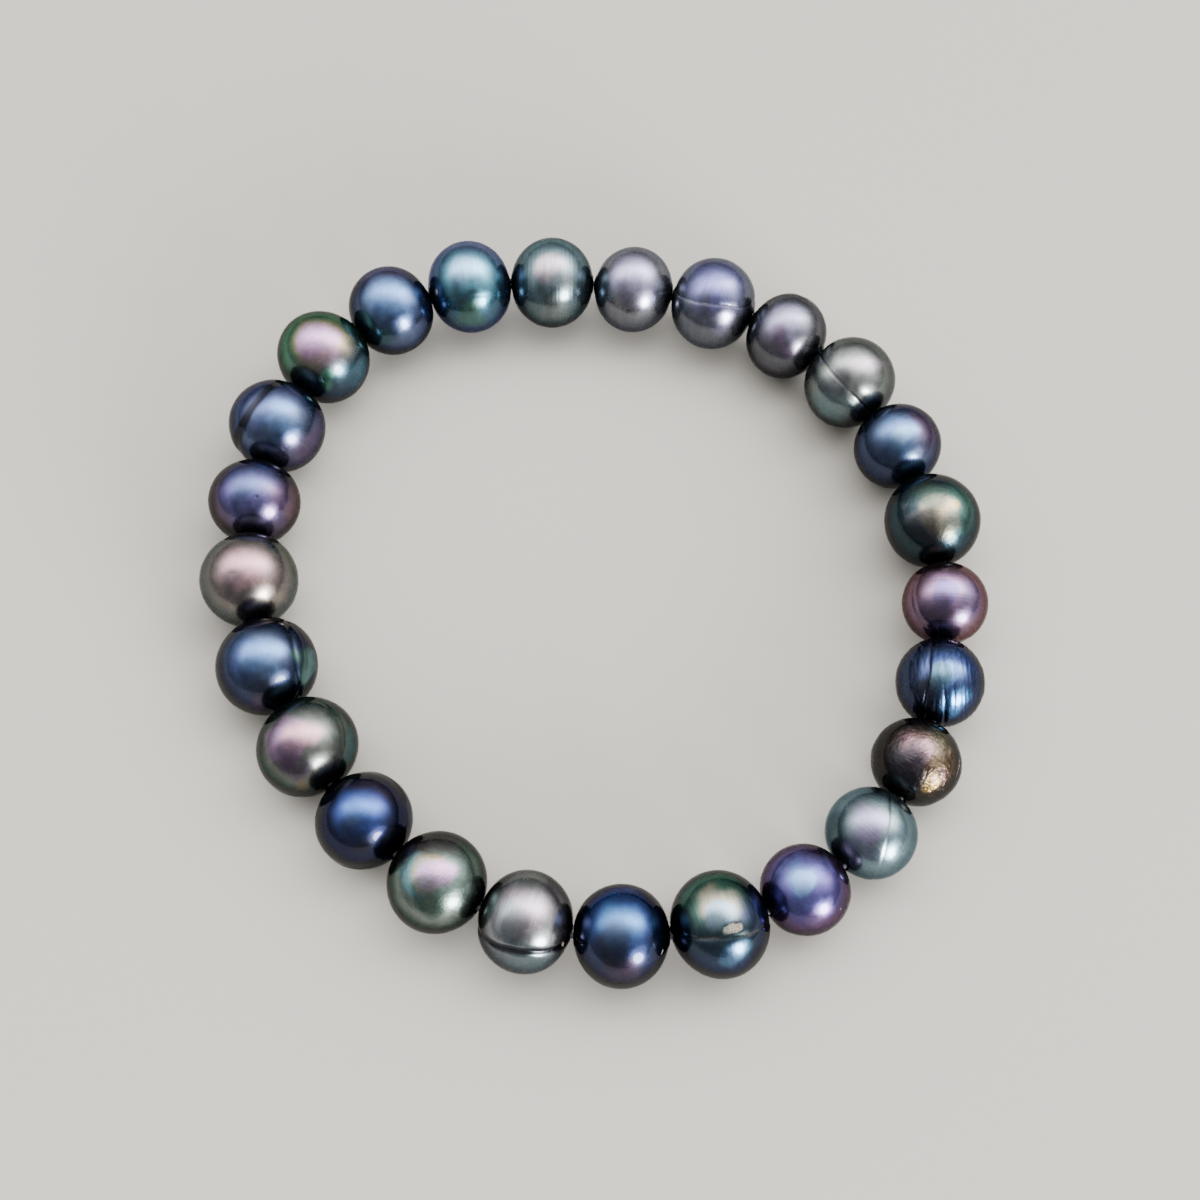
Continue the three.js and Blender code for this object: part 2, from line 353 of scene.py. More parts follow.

# %% [markdown]
# Pits, scuffs and chips are charted as they are seen from above the front edge: how far right and
# up from the middle of the pearl's disc, in radii. A pit is a pinprick, darkened with painted shade. A
# chip is a place where nacre has flaked off, pale and dull, and it is longer one way than the other.

# %% Chart of the marks
PITS = {
    3: [(-0.13, -0.47, 0.16)],
    7: [(-0.41, 0.50, 0.07), (-0.20, 0.27, 0.06), (0.04, 0.72, 0.07),
        (0.20, 0.67, 0.06), (0.25, 0.04, 0.07)],
    19: [(-0.30, -0.36, 0.08), (-0.22, -0.42, 0.07)],
    21: [(-0.32, 0.13, 0.14)],
    22: [(0.04, 0.06, 0.13), (0.06, 0.0, 0.07)],
    8: [(-0.36, 0.28, 0.06), (-0.18, 0.42, 0.06), (-0.12, 0.34, 0.05), (-0.28, -0.02, 0.05)],
    24: [(-0.12, -0.30, 0.06), (0.02, -0.62, 0.07)],
    6: [(-0.38, -0.27, 0.06)],
    17: [(-0.20, 0.83, 0.10)],
}
CHIPS = {
    1: [dict(right=-0.78, up=-0.12, turn=75, length=0.55, width=0.34, depth=0.05)],
    13: [dict(right=0.76, up=-0.40, turn=20, length=0.22, width=0.16, depth=0.03),
         dict(right=0.66, up=-0.73, turn=60, length=0.20, width=0.12, depth=0.03)],
    14: [dict(right=0.25, up=-0.08, turn=15, length=2.00, width=0.72, depth=0.05)],
    15: [dict(right=0.84, up=-0.30, turn=80, length=0.45, width=0.22, depth=0.03)],
    16: [dict(right=0.81, up=-0.45, turn=55, length=0.42, width=0.30, depth=0.05)],
    20: [dict(right=0.28, up=0.84, turn=-20, length=0.45, width=0.22, depth=0.05)],
    11: [dict(right=0.93, up=-0.10, turn=85, length=1.6, width=0.16, depth=0.08)],
}
print("pits:", sum(len(v) for v in PITS.values()), "chips:", sum(len(v) for v in CHIPS.values()))

# %% [markdown]
# The skin is turned like a bead on a lathe. A circle of vertices is bent into the bead's section:
# the long outer arc, a small rounded lip at each end, and the wall of the drill hole. Spinning this
# ring once about the hole gives a closed shell with no poles. The ends of most pearls are a little
# flattened where they press on each other, which the section follows.

# %% Section of a pearl
BORE_RADIUS_MM = 0.5
LIP_MM = 0.1
LIP_POINTS = 5
BORE_POINTS = 8
END_GROWTH_MM = 0.03
FLATTENING_POWER = 6


def section_points(radius, reach, fullness, arc_points):
    """Points (along the hole, out from it) of the closed section, in millimetres."""
    half = reach + END_GROWTH_MM
    start = math.asin((BORE_RADIUS_MM + LIP_MM) / radius)

    def arc(t):
        pressed = fullness / 2 * math.cos(t) ** FLATTENING_POWER
        return (-(half + fullness / 2 - pressed) * math.cos(t), radius * math.sin(t))

    outer = [arc(start + (math.pi - 2 * start) * k / (arc_points - 1)) for k in range(arc_points)]
    rim = outer[-1][0]
    lip = []
    for k in range(1, LIP_POINTS + 1):
        bend = math.pi / 2 * k / LIP_POINTS
        lip.append((rim - LIP_MM * (1 - math.cos(bend)), BORE_RADIUS_MM + LIP_MM * (1 - math.sin(bend))))
    left_lip = [(-along, across) for along, across in reversed(lip)]
    inner = rim - LIP_MM
    wall = [(inner * (1 - 2 * k / (BORE_POINTS + 1)), BORE_RADIUS_MM) for k in range(1, BORE_POINTS + 1)]
    return outer + lip + wall + left_lip


def spin_pearl(points, around):
    shape = bmesh.new()
    section = bmesh.ops.create_circle(shape, segments=len(points), radius=1.0, cap_ends=False)
    for vertex, (along, across) in zip(section["verts"], points):
        vertex.co = (along, 0, across)
    bmesh.ops.spin(shape, geom=shape.verts[:] + shape.edges[:], cent=(0, 0, 0), axis=(1, 0, 0),
                   angle=2 * math.pi, steps=around, use_merge=True, use_duplicate=False)
    bmesh.ops.remove_doubles(shape, verts=shape.verts, dist=1e-5)
    bmesh.ops.recalc_face_normals(shape, faces=shape.faces)
    return shape


trial = spin_pearl(section_points(4.0, 3.8, 0.1, 20), 24)
print("trial pearl:", len(trial.verts), "vertices", len(trial.faces), "faces, open edges:",
      sum(1 for edge in trial.edges if not edge.is_manifold))
trial.free()

# %% [markdown]
# No pearl is a true lathe shape. A handful of slow waves in random directions makes each one a
# little like a potato, always inwards, so that it stays inside its solid and clear of its
# neighbours. The random numbers are seeded with the pearl's number, so every run gives the same loop.

# %% Natural shape
SWELL_WAVES = 9
SWELL_MM = 0.022
RIPPLE_WAVES = 14
RIPPLE_MM = 0.003


def wave_sum(directions_on_pearl, random, count, slowest, fastest):
    """A smooth random field between about -1 and 1 over the pearl."""
    total = np.zeros(len(directions_on_pearl))
    for _ in range(count):
        wave = random.normal(size=3)
        wave *= random.uniform(slowest, fastest) / np.linalg.norm(wave)
        total += np.sin(directions_on_pearl @ wave + random.uniform(0, 2 * math.pi))
    return total / math.sqrt(count / 2)


def smooth_step(values, low, high):
    t = np.clip((values - low) / (high - low), 0, 1)
    return t * t * (3 - 2 * t)


def seen_direction(pearl, right, up):
    """The direction out of a pearl at a point charted as seen on its disc, in radii."""
    towards = pearl["sight"]
    across = Vector((1, 0, 0))
    across = (across - across.dot(towards) * towards).normalized()
    upward = towards.cross(across)
    away = math.sqrt(max(0.0, 1 - right * right - up * up))
    return (right * across + up * upward + away * towards).normalized()


def own_direction(pearl, right, up):
    """The same direction in the pearl's own axes."""
    return np.array(pearl["place"].to_3x3().inverted() @ seen_direction(pearl, right, up))


print("glow direction:", [round(v, 2) for v in seen_direction(PEARLS[0], 0, 0.35)])

# %% [markdown]
# Rings, pits and chips are pressed into the skin by moving its vertices along the line from the
# pearl's centre. Two numbers are kept on each vertex, how much it lies in a groove and how much in
# a chip, so that the material can darken the one and bare the other. A ring comes first. Slow noise
# makes it wander from its plane and vary in depth, as a ring that grew with the pearl does.

# %% Growth rings in the skin
RING_WANDER = 0.012
RING_QUIVER = 0.004
RING_VARIES = 0.22
SHOULDER_SHARE = 0.12
STEP_WIDTH = 1.3
LINE_WIDTH = 1.4


def ring_normal(mark):
    slant = math.radians(mark["slant"])
    tilt = math.radians(-mark["tilt"])
    level = Vector((-math.sin(slant), math.cos(slant), 0))
    return np.array(Matrix.Rotation(tilt, 3, "X") @ level)


def press_rings(number, unit, radius, random):
    move = np.zeros(len(unit))
    dark = np.zeros(len(unit))
    worn = np.zeros(len(unit))
    for mark in RINGS.get(number, []):
        wander = RING_WANDER * wave_sum(unit, random, 5, 2.0, 6.0)
        wander = wander + RING_QUIVER * wave_sum(unit, random, 6, 8.0, 16.0)
        distance = (unit @ ring_normal(mark) - mark["offset"] + wander) * radius
        vary = 1 - RING_VARIES + RING_VARIES * wave_sum(unit, random, 4, 1.0, 4.0).clip(-1, 1)
        for depth, width in (mark["crease"], mark["valley"]):
            dent = np.exp(-(distance / width) ** 2)
            shoulder = np.exp(-((np.abs(distance) - 2.0 * width) / (1.2 * width)) ** 2)
            move -= vary * depth * (dent - SHOULDER_SHARE * shoulder)
        width = mark["crease"][1]
        move -= mark["step"] * 0.5 * (1 + np.tanh(distance / (STEP_WIDTH * width)))
        # Painted shade along the ring's line.
        line = np.exp(-(distance / (LINE_WIDTH * width)) ** 2)
        dark = np.maximum(dark, mark["shade"] * vary * line)
        patchy = smooth_step(wave_sum(unit, random, 6, 3.0, 9.0), -0.6, 0.8)
        worn = np.maximum(worn, mark["pale"] * patchy * np.exp(-(distance / width) ** 2))
    return move, dark, worn


print("ring wanders by about", RING_WANDER, "radii")

# %% [markdown]
# Some pearls are ribbed all over, like fine corduroy, round the hole or along their rings. Two rows of
# waves of different pitch, bent by slow noise, keep the ribs from looking ruled.

# %% Ribs in the skin
ALONG_HOLE = np.array([1.0, 0, 0])
RIB_WANDER_MM = 0.12
RIB_PITCH_MM = 0.42
RIB_SECOND_PITCH_MM = 0.27
RIB_SECOND_SHARE = 0.6
RIB_SECOND_START = 1.3


def press_ribs(number, pearl, unit, random):
    """Fine ribs side by side, round the pearl from hole to hole or round the hole."""
    ribs = RIBS[number]
    way = ring_normal(ribs["like"]) if "like" in ribs else ALONG_HOLE
    spread = unit @ way * pearl["radius"] + RIB_WANDER_MM * wave_sum(unit, random, 6, 2.0, 5.0)
    wide = np.sin(2 * math.pi * spread / RIB_PITCH_MM)
    narrow = RIB_SECOND_SHARE * np.sin(2 * math.pi * spread / RIB_SECOND_PITCH_MM + RIB_SECOND_START)
    return ribs["depth"] * (wide + narrow - 1 - RIB_SECOND_SHARE)


print("ribbed pearls:", sorted(RIBS))

# %% [markdown]
# A pit is a small round dent, with painted shade at its bottom. A chip is a shallow flat hollow with
# a slightly ragged edge, long one way and turned as charted, and its one end is thinner than the other,
# where some nacre still covers the shell.

# %% Pits and chips in the skin
PIT_DEPTH = 0.35
# Painted shade at a pit's bottom.
PIT_SHADE = 0.9
CHIP_RAGGED = 0.13
CHIP_EDGE = (0.75, 1.1)
CHIP_THIN_END = 0.6


def press_pits(number, pearl, unit):
    move = np.zeros(len(unit))
    dark = np.zeros(len(unit))
    for right, up, size in PITS.get(number, []):
        distance = np.linalg.norm(unit - own_direction(pearl, right, up), axis=1) * pearl["radius"]
        dent = np.exp(-(distance / size) ** 2)
        move -= PIT_DEPTH * size * dent
        # Painted shade in the pit.
        dark = np.maximum(dark, PIT_SHADE * dent)
    return move, dark


def press_chips(number, pearl, unit, random):
    move = np.zeros(len(unit))
    bare = np.zeros(len(unit))
    for chip in CHIPS.get(number, []):
        middle = own_direction(pearl, chip["right"], chip["up"])
        side = own_direction(pearl, chip["right"] + 0.02, chip["up"]) - middle
        side /= np.linalg.norm(side)
        upward = np.cross(middle, side)
        turn = math.radians(chip["turn"])
        offset = (unit - middle) * pearl["radius"]
        long_way = offset @ (math.cos(turn) * side + math.sin(turn) * upward)
        short_way = offset @ (-math.sin(turn) * side + math.cos(turn) * upward)
        near_side = unit @ middle > 0.5
        ragged = 1 + CHIP_RAGGED * wave_sum(unit, random, 8, 8.0, 30.0).clip(-1, 1)
        long_share = long_way / chip["length"]
        short_share = short_way / chip["width"]
        spread = (long_share ** 4 + short_share ** 4) ** 0.25 * ragged * 2
        inside = (1 - smooth_step(spread, *CHIP_EDGE)) * near_side
        move -= chip["depth"] * inside
        fading = CHIP_THIN_END + (1 - CHIP_THIN_END) * smooth_step(long_share, -0.4, 0.2)
        bare = np.maximum(bare, inside * fading)
    return move, bare


print("chip edge runs over", CHIP_EDGE, "of its half size")

# %% [markdown]
# One function makes a whole pearl: spin the section, add the natural shape and the marks, lean the
# hole towards the crossings, and set the result in its place in the loop. Pearls with rings or
# chips get a finer mesh, because their grooves are only a few tenths of a millimetre wide.

# %% Pearl skin
PLAIN_MESH = (74, 120)
FINE_MESH = (104, 180)
HOLE_LEAN_FADE_MM = (0.65, 1.6)


def keep_numbers(data, name, values):
    attribute = data.attributes.new(name, "FLOAT", "POINT")
    attribute.data.foreach_set("value", values.astype(np.float32))


def make_pearl(number, pearl, fullness):
    """Build one pearl's skin, in place in the loop."""
    random = np.random.default_rng(number)
    marked = number in RINGS or number in CHIPS
    arc_points, around = FINE_MESH if marked else PLAIN_MESH
    shape = spin_pearl(section_points(pearl["radius"], pearl["reach"], fullness, arc_points), around)
    data = bpy.data.meshes.new(pearl["name"] + "_nacre")
    shape.to_mesh(data)
    shape.free()

    points = np.empty(3 * len(data.vertices))
    data.vertices.foreach_get("co", points)
    points = points.reshape(-1, 3)
    from_axis = np.hypot(points[:, 1], points[:, 2])
    outer = smooth_step(from_axis, BORE_RADIUS_MM + LIP_MM, BORE_RADIUS_MM + 6 * LIP_MM)
    unit = points / np.array([pearl["reach"], pearl["radius"], pearl["radius"]])
    unit /= np.linalg.norm(unit, axis=1)[:, None]

    swell = SWELL_MM * (wave_sum(unit, random, SWELL_WAVES, 1.2, 4.5).clip(-2, 2) - 1.6)
    ripple = RIPPLE_MM * WRINKLES.get(number, 1.0) * wave_sum(unit, random, RIPPLE_WAVES, 9.0, 22.0)
    ring_move, groove, worn = press_rings(number, unit, pearl["radius"], random)
    pit_move, dark = press_pits(number, pearl, unit)
    chip_move, bare = press_chips(number, pearl, unit, random)
    rib_move = press_ribs(number, pearl, unit, random) if number in RIBS else 0.0
    move = outer * (swell + ripple + ring_move + pit_move + chip_move + rib_move)
    lengths = np.linalg.norm(points, axis=1)
    points *= (1 + np.minimum(move, 0) / lengths)[:, None]

    lean = 1 - smooth_step(from_axis, *HOLE_LEAN_FADE_MM)
    along = (points[:, 0] - pearl["hole_start"].x) / (pearl["hole_finish"].x - pearl["hole_start"].x)
    for axis in (1, 2):
        start = pearl["hole_start"][axis]
        finish = pearl["hole_finish"][axis]
        points[:, axis] += lean * (start + (finish - start) * along)

    data.vertices.foreach_set("co", (points * MM).ravel())
    # The groove number holds the painted shade of rings and pits.
    keep_numbers(data, "groove", outer * np.maximum(groove, dark))
    keep_numbers(data, "chip", outer * np.maximum(bare, worn))
    data.transform(pearl["place"])
    data.shade_smooth()
    piece = bpy.data.objects.new(pearl["name"] + "_nacre", data)
    bpy.context.scene.collection.objects.link(piece)
    return piece


print("skin grids, along and around:", PLAIN_MESH, FINE_MESH)

# %% [markdown]
# Dyed nacre is a stack of very thin clear layers over a dark ground, so its colour is in the
# reflection, as on a metal, and drifts from place to place with the layers' thickness. The palette
# names those reflection colours, as shares of the light sent back.

# %% Palette
PALETTE = {
    "silver": (0.210, 0.210, 0.222),
    "green_silver": (0.145, 0.165, 0.155),
    "teal_silver": (0.105, 0.170, 0.195),
    "teal_grey": (0.085, 0.125, 0.145),
    "pink_silver": (0.270, 0.225, 0.270),
    "lilac": (0.205, 0.195, 0.320),
    "lilac_pink": (0.255, 0.150, 0.280),
    "pearl_pink": (0.300, 0.165, 0.200),
    "peach": (0.340, 0.210, 0.090),
    "cream": (0.262, 0.240, 0.185),
    "champagne": (0.225, 0.165, 0.160),
    "bronze": (0.150, 0.100, 0.060),
    "olive": (0.075, 0.080, 0.050),
    "olive_grey": (0.090, 0.098, 0.090),
    "gold": (0.380, 0.250, 0.070),
    "brown": (0.048, 0.034, 0.037),
    "rose_brown": (0.105, 0.060, 0.070),
    "plum": (0.075, 0.042, 0.078),
    "dark_plum": (0.040, 0.028, 0.050),
    "mauve": (0.150, 0.090, 0.160),
    "violet": (0.088, 0.088, 0.270),
    "deep_violet": (0.048, 0.035, 0.125),
    "purple": (0.082, 0.062, 0.130),
    "dusky_purple": (0.155, 0.125, 0.220),
    "indigo": (0.045, 0.055, 0.135),
    "royal_blue": (0.022, 0.048, 0.195),
    "navy": (0.021, 0.030, 0.066),
    "slate_blue": (0.058, 0.080, 0.145),
    "sky_blue": (0.066, 0.132, 0.285),
    "ice_blue": (0.150, 0.270, 0.420),
    "azure": (0.036, 0.115, 0.265),
    "steel_blue": (0.055, 0.120, 0.200),
    "teal_blue": (0.035, 0.095, 0.140),
    "teal": (0.032, 0.080, 0.090),
    "dark_teal": (0.016, 0.034, 0.043),
    "cyan": (0.080, 0.260, 0.330),
    "emerald": (0.043, 0.138, 0.086),
    "sea_green": (0.055, 0.125, 0.100),
    "dark_green": (0.030, 0.052, 0.040),
    "charcoal": (0.060, 0.058, 0.066),
    "grey": (0.105, 0.114, 0.137),
    "midnight": (0.010, 0.013, 0.038),
    "pewter": (0.085, 0.093, 0.092),
    "slate_teal": (0.050, 0.075, 0.085),
    "umber": (0.024, 0.019, 0.015),
    "ink": (0.012, 0.012, 0.018),
}
print("palette colours:", len(PALETTE))

# %% [markdown]
# Each pearl's colours are charted too. Body is its general colour and rim the colour towards
# its sides. A patch has a colour, its place as seen (right, up) in radii, how far it reaches, in
# radii, and how strong it is. Patches are laid over each other in order. Fullness is how much, in
# millimetres, the two ends together were pressed flat. Streaks run along the hole, around it or no
# way at all, and the number beside the way is how much they lighten and darken the colour.

# %% Chart of the colours
# Painted reflection: the dark patch a little below and to the left of the middle of nearly every disc stands
# for a dark shape in front of the pearls that the scene does not hold. The dark patches at the lower edge of
# some pearls are their own hue and also paint the darker reflection of the shaded table.
CHART = [
    # Pearl 1
    dict(slot="nacre_blue", body="teal_blue", rim="slate_blue",
         fullness=0.25, streaks=("around", 0.08), patches=[
        ("dusky_purple", 0.0, 0.92, 0.50, 0.9), ("steel_blue", 0.0, 0.55, 0.65, 0.8),
        ("cyan", 0.0, 0.25, 0.58, 0.7), ("ice_blue", 0.0, 0.34, 0.36, 0.8),
        ("dark_teal", -0.08, -0.22, 0.38, 0.85), ("sea_green", -0.05, -0.72, 0.40, 0.7)]),
    # Pearl 2
    dict(slot="nacre_silver", body="teal_grey", rim="slate_teal",
         fullness=0.10, streaks=("around", 0.12), patches=[
        ("teal_silver", 0.0, 0.60, 0.75, 0.9), ("silver", 0.15, 0.25, 0.45, 0.5),
        ("pink_silver", -0.03, 0.30, 0.30, 0.8), ("dark_teal", -0.08, -0.22, 0.34, 0.7),
        ("green_silver", 0.0, -0.65, 0.45, 0.5)]),
    # Pearl 3
    dict(slot="nacre_silver", body="grey", rim="grey",
         fullness=0.10, streaks=("around", 0.08), patches=[
        ("silver", 0.0, 0.20, 0.80, 0.7), ("lilac", 0.0, 0.35, 0.60, 0.9),
        ("lilac", 0.50, -0.20, 0.35, 0.6), ("charcoal", -0.12, -0.22, 0.34, 0.6),
        ("slate_blue", -0.75, 0.0, 0.4, 0.6)]),
    # Pearl 4
    dict(slot="nacre_violet", body="grey", rim="grey",
         fullness=0.25, streaks=("around", 0.10), patches=[
        ("violet", 0.05, 0.50, 0.70, 0.70), ("plum", 0.0, 0.95, 0.35, 0.7),
        ("lilac", 0.45, 0.20, 0.35, 0.7), ("lilac", 0.35, -0.35, 0.40, 0.5),
        ("slate_blue", -0.40, -0.35, 0.35, 0.4), ("charcoal", -0.08, -0.15, 0.30, 0.6)]),
    # Pearl 5
    dict(slot="nacre_silver", body="charcoal", rim="charcoal",
         fullness=0.15, streaks=("none", 0.08), patches=[
        ("grey", 0.0, 0.10, 0.85, 0.8), ("mauve", -0.60, 0.15, 0.30, 0.3),
        ("lilac", 0.0, 0.35, 0.50, 0.7), ("plum", -0.12, -0.20, 0.34, 0.7),
        ("silver", 0.45, 0.10, 0.35, 0.5)]),
    # Pearl 6
    dict(slot="nacre_silver", body="green_silver", rim="pewter",
         fullness=0.35, streaks=("none", 0.08), patches=[
        ("silver", 0.0, 0.35, 0.50, 0.5), ("pink_silver", 0.50, 0.30, 0.35, 0.7),
        ("teal_silver", -0.35, -0.50, 0.50, 0.8), ("charcoal", -0.30, -0.10, 0.36, 0.7)]),
    # Pearl 7
    dict(slot="nacre_blue", body="slate_blue", rim="navy",
         fullness=0.0, streaks=("none", 0.08), patches=[
        ("plum", 0.65, 0.45, 0.55, 0.8), ("dusky_purple", 0.1, 0.95, 0.35, 0.6),
        ("sky_blue", 0.0, 0.25, 0.48, 0.85), ("ice_blue", 0.28, 0.08, 0.30, 0.6),
        ("navy", -0.45, -0.30, 0.60, 0.85)]),
    # Pearl 8
    dict(slot="nacre_green", body="dark_teal", rim="dark_teal",
         fullness=0.0, streaks=("none", 0.08), patches=[
        ("sea_green", 0.50, 0.40, 0.55, 0.7), ("silver", -0.42, 0.15, 0.28, 0.5),
        ("cream", 0.20, 0.15, 0.38, 0.95), ("peach", 0.42, 0.18, 0.20, 0.5),
        ("dark_green", 0.0, 0.70, 0.40, 0.7), ("ink", -0.20, -0.22, 0.42, 0.8)]),
    # Pearl 9
    dict(slot="nacre_violet", body="mauve", rim="rose_brown",
         fullness=0.20, streaks=("around", 0.12), patches=[
        ("brown", 0.0, 0.95, 0.40, 0.8), ("rose_brown", -0.60, 0.35, 0.35, 0.7),
        ("purple", 0.50, 0.10, 0.45, 0.85), ("lilac_pink", -0.05, 0.26, 0.42, 0.85),
        ("violet", 0.05, 0.20, 0.25, 0.6), ("dark_plum", -0.12, -0.30, 0.50, 0.85)]),
    # Pearl 10
    dict(slot="nacre_blue", body="navy", rim="navy",
         fullness=0.0, streaks=("along", 0.38), patches=[
        ("royal_blue", 0.25, 0.40, 0.60, 0.45), ("sky_blue", 0.28, 0.12, 0.34, 0.85),
        ("teal", 0.02, 0.10, 0.18, 0.7), ("azure", 0.32, -0.38, 0.38, 0.9),
        ("ink", -0.30, -0.25, 0.38, 0.6)]),
    # Pearl 11
    dict(slot="nacre_bronze", body="umber", rim="umber",
         fullness=0.10, streaks=("none", 0.10), patches=[
        ("bronze", 0.35, 0.10, 0.60, 0.5), ("olive", 0.50, 0.65, 0.45, 0.6),
        ("rose_brown", 0.05, 0.45, 0.40, 0.5), ("pearl_pink", 0.04, 0.24, 0.30, 0.6),
        ("gold", 0.33, -0.40, 0.22, 0.5), ("rose_brown", 0.55, -0.10, 0.25, 0.6),
        ("ink", -0.28, -0.15, 0.56, 0.95)]),
    # Pearl 12
    dict(slot="nacre_silver", body="teal_silver", rim="teal_grey",
         fullness=0.10, streaks=("around", 0.08), patches=[
        ("silver", 0.0, 0.30, 0.50, 0.5), ("lilac", -0.05, 0.25, 0.34, 0.7),
        ("dark_teal", -0.80, 0.0, 0.40, 0.7), ("dark_teal", 0.0, 0.95, 0.30, 0.6),
        ("purple", -0.18, -0.22, 0.40, 0.55)]),
    # Pearl 13
    dict(slot="nacre_violet", body="deep_violet", rim="plum",
         fullness=0.15, streaks=("none", 0.08), patches=[
        ("violet", 0.0, 0.25, 0.70, 0.85), ("deep_violet", 0.50, 0.12, 0.42, 0.85),
        ("sky_blue", -0.12, 0.30, 0.36, 0.7), ("ice_blue", 0.0, 0.22, 0.20, 0.3),
        ("mauve", 0.25, -0.50, 0.35, 0.4)]),
    # Pearl 14
    dict(slot="nacre_green", body="dark_teal", rim="midnight",
         fullness=0.0, streaks=("around", 0.07), patches=[
        ("emerald", -0.10, 0.85, 0.65, 0.7), ("sea_green", -0.40, 0.35, 0.50, 0.8),
        ("cream", 0.0, 0.45, 0.42, 0.9), ("ice_blue", 0.08, 0.22, 0.22, 0.6),
        ("navy", 0.75, 0.2, 0.50, 0.9), ("dark_teal", -0.10, -0.20, 0.35, 0.8),
        ("navy", 0.0, -0.80, 0.60, 0.9), ("steel_blue", 0.28, -0.45, 0.30, 0.6)]),
    # Pearl 15
    dict(slot="nacre_blue", body="navy", rim="midnight",
         fullness=0.10, streaks=("none", 0.08), patches=[
        ("dusky_purple", 0.0, 0.95, 0.35, 0.4), ("royal_blue", 0.0, 0.38, 0.70, 0.75),
        ("azure", 0.0, 0.30, 0.45, 0.85), ("ink", -0.08, -0.25, 0.45, 0.8),
        ("dark_plum", 0.0, -0.80, 0.50, 0.8)]),
    # Pearl 16
    dict(slot="nacre_silver", body="silver", rim="charcoal",
         fullness=0.20, streaks=("around", 0.10), patches=[
        ("green_silver", 0.0, 0.85, 0.45, 0.8), ("pink_silver", 0.0, 0.28, 0.50, 0.9),
        ("teal_silver", -0.6, 0.1, 0.35, 0.6), ("charcoal", -0.10, -0.20, 0.34, 0.75),
        ("teal_grey", 0.0, -0.85, 0.70, 0.85)]),
    # Pearl 17
    dict(slot="nacre_green", body="green_silver", rim="dark_green",
         fullness=0.0, streaks=("none", 0.10), patches=[
        ("sea_green", 0.05, 0.15, 0.75, 0.6), ("brown", -0.15, 0.85, 0.60, 0.85),
        ("cyan", -0.45, 0.15, 0.35, 0.7), ("peach", -0.15, 0.22, 0.35, 0.5),
        ("lilac_pink", 0.08, 0.12, 0.32, 0.9), ("dark_green", -0.10, -0.28, 0.34, 0.7)]),
    # Pearl 18
    dict(slot="nacre_blue", body="midnight", rim="midnight",
         fullness=0.0, streaks=("none", 0.08), patches=[
        ("dark_plum", 0.1, 0.80, 0.55, 0.8), ("royal_blue", -0.08, 0.20, 0.56, 0.9),
        ("azure", 0.0, 0.22, 0.26, 0.3), ("ink", 0.0, -0.30, 0.42, 0.8),
        ("grey", 0.92, 0.35, 0.30, 0.5)]),
    # Pearl 19
    dict(slot="nacre_green", body="olive_grey", rim="dark_green",
         fullness=0.20, streaks=("none", 0.10), patches=[
        ("green_silver", 0.10, 0.60, 0.55, 0.6), ("lilac_pink", -0.45, 0.12, 0.45, 0.9),
        ("pearl_pink", -0.02, 0.22, 0.36, 0.95), ("dark_green", 0.62, 0.10, 0.30, 0.6),
        ("teal", 0.90, 0.10, 0.40, 0.9), ("dark_plum", -0.22, -0.32, 0.42, 0.8),
        ("bronze", -0.15, -0.80, 0.25, 0.5)]),
    # Pearl 20
    dict(slot="nacre_blue", body="navy", rim="midnight",
         fullness=0.0, streaks=("none", 0.08), patches=[
        ("slate_blue", -0.30, 0.25, 0.62, 0.9), ("royal_blue", -0.45, 0.15, 0.40, 0.5),
        ("sky_blue", -0.02, 0.20, 0.40, 0.9), ("sea_green", 0.76, 0.15, 0.36, 1.0),
        ("teal_silver", 0.80, 0.10, 0.20, 0.6), ("ink", -0.10, -0.32, 0.40, 0.7),
        ("plum", -0.3, -0.8, 0.4, 0.5)]),
    # Pearl 21
    dict(slot="nacre_silver", body="olive_grey", rim="pewter",
         fullness=0.10, streaks=("none", 0.08), patches=[
        ("champagne", 0.0, 0.15, 0.75, 0.7), ("pearl_pink", -0.05, 0.20, 0.50, 0.85),
        ("cream", 0.25, -0.30, 0.38, 0.6), ("olive", 0.80, 0.55, 0.38, 0.8),
        ("charcoal", -0.15, -0.22, 0.36, 0.8)]),
    # Pearl 22
    dict(slot="nacre_violet", body="purple", rim="brown",
         fullness=0.35, streaks=("none", 0.08), patches=[
        ("violet", -0.25, 0.18, 0.55, 0.7), ("sky_blue", -0.05, 0.20, 0.24, 0.4),
        ("mauve", 0.45, 0.18, 0.36, 0.6), ("indigo", 0.0, 0.72, 0.55, 0.8),
        ("rose_brown", 0.85, 0.10, 0.35, 0.6), ("ink", -0.1, -0.25, 0.40, 0.8)]),
    # Pearl 23
    dict(slot="nacre_blue", body="slate_blue", rim="navy",
         fullness=0.15, streaks=("none", 0.08), patches=[
        ("indigo", 0.0, 0.75, 0.55, 0.7), ("sky_blue", 0.05, 0.18, 0.42, 0.9),
        ("navy", -0.10, -0.28, 0.40, 0.85), ("plum", 0.60, -0.55, 0.50, 0.7),
        ("indigo", -0.60, 0.35, 0.45, 0.7), ("purple", 0.78, 0.1, 0.35, 0.4)]),
    # Pearl 24
    dict(slot="nacre_green", body="green_silver", rim="dark_green",
         fullness=0.05, streaks=("none", 0.08), patches=[
        ("emerald", -0.60, 0.20, 0.65, 0.9), ("emerald", 0.1, 0.85, 0.65, 0.85),
        ("peach", 0.0, 0.26, 0.62, 0.6), ("lilac_pink", -0.05, 0.30, 0.46, 0.95),
        ("peach", 0.42, 0.12, 0.20, 0.5), ("teal_blue", 0.65, -0.40, 0.60, 0.9),
        ("dark_teal", -0.15, -0.70, 0.70, 0.9), ("navy", 0.20, -0.85, 0.55, 0.6),
